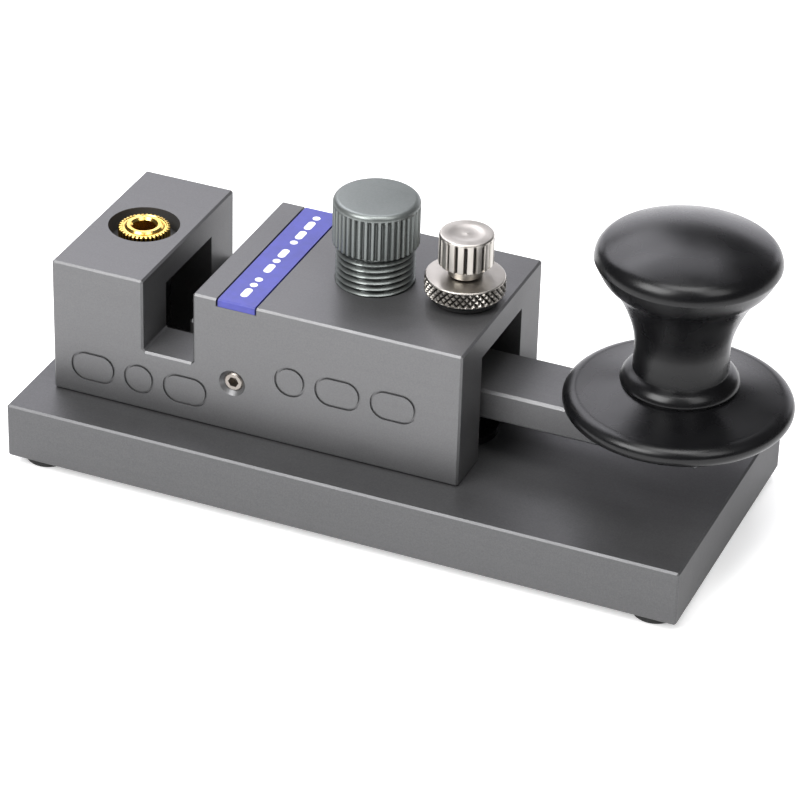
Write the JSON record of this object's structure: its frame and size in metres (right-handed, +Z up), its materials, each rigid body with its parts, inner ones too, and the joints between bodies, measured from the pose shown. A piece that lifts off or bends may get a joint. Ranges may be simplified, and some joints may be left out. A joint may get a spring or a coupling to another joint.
{
  "type": "morse key",
  "caption": "Straight telegraph key: long base, slotted body over a pivoted lever with a large round knob, magnetic tension knob, gap thumbscrew with lock nut, and an audio socket.",
  "frame": {"origin": "centre of the whole key's footprint, on the surface its feet stand on", "axes": "+X along the lever from the socket end to the knob, +Y from the engraved side to the far side, +Z up"},
  "size_m": [0.1156, 0.0474, 0.0527],
  "materials": {
    "anodised_grey": "bead-blasted, dark grey anodised, satin",
    "anodised_green_grey": "anodised grey with a faint green cast, satin",
    "steel": "turned stainless steel, satin bright",
    "gold": "gold plated, bright",
    "brass": "turned brass, satin",
    "silver": "silver plated, satin",
    "magnet": "nickel plated neodymium disc",
    "blue_label": "blue coated strip, satin",
    "black_plastic": "turned and polished black plastic",
    "black_rubber": "matt black rubber",
    "nylon": "natural nylon",
    "wire_red": "insulated hook-up wire",
    "wire_black": "insulated hook-up wire"
  },
  "bodies": {
    "frame": {"base_plate": "anodised_grey", "rubber_feet": "black_rubber", "body_block": "anodised_grey", "body_screws": "steel", "label_plate": "blue_label", "pivot_screw_front": "steel", "pivot_screw_rear": "steel", "contact_insulator": "black_plastic", "contact_tag": "silver", "contact_post": "silver", "contact_washer": "nylon", "contact_nut": "brass", "jack_sleeve": "gold", "jack_nut": "gold", "jack_housing": "black_plastic", "jack_terminals": "silver", "jack_tip_spring": "silver", "signal_wire": "wire_red", "ground_wire": "wire_black", "ground_lug": "silver", "ground_screw": "steel"},
    "lever": {"lever_arm": "anodised_grey", "pivot_bush_front": "brass", "pivot_bush_rear": "brass", "lever_magnet": "magnet", "lever_contact": "silver", "key_knob": "black_plastic", "knob_insert": "brass", "knob_screw": "steel"},
    "tension_magnet": {"tension_magnet": "magnet"},
    "tension_knob": {"tension_knob": "anodised_green_grey"},
    "gap_tip": {"gap_screw_tip": "brass"},
    "gap_screw": {"gap_screw": "steel"},
    "nut_ring": {"lock_nut_ring": "black_rubber"},
    "lock_nut": {"lock_nut": "steel"}
  },
  "joints": [
    {"name": "key_press", "type": "hinge", "parent": "frame", "child": "lever", "pos_m": [-0.02372, 0, 0.019], "axis": [0, 1, 0], "range_deg": [0, 0.74], "stiffness_Nm_per_rad": 1, "springref_deg": -2.29},
    {"name": "tension_turn", "type": "hinge", "parent": "tension_magnet", "child": "tension_knob", "pos_m": [-0.00773, 0, 0.0406], "axis": [0, 0, 1], "range_deg": [-1621, 1081]},
    {"name": "tension_travel", "type": "slide", "parent": "frame", "child": "tension_magnet", "axis": [0, 0, 1], "range_m": [-0.0045, 0.003]},
    {"name": "gap_turn", "type": "hinge", "parent": "gap_tip", "child": "gap_screw", "pos_m": [0.00668, 0, 0.0406], "axis": [0, 0, 1], "range_deg": [-0.5, 577]},
    {"name": "gap_travel", "type": "slide", "parent": "frame", "child": "gap_tip", "axis": [0, 0, 1], "range_m": [0, 0.0008]},
    {"name": "lock_nut_turn", "type": "hinge", "parent": "nut_ring", "child": "lock_nut", "pos_m": [0.00668, 0, 0.0356], "axis": [0, 0, 1], "range_deg": [-0.5, 109]},
    {"name": "lock_nut_travel", "type": "slide", "parent": "frame", "child": "nut_ring", "axis": [0, 0, 1], "range_m": [0, 0.00015]}
  ],
  "couplings": [
    {"joint": "tension_turn", "follows": "tension_travel", "rad_per_m": 6283.2},
    {"joint": "gap_turn", "follows": "gap_travel", "rad_per_m": 12566},
    {"joint": "lock_nut_turn", "follows": "lock_nut_travel", "rad_per_m": 12566}
  ]
}
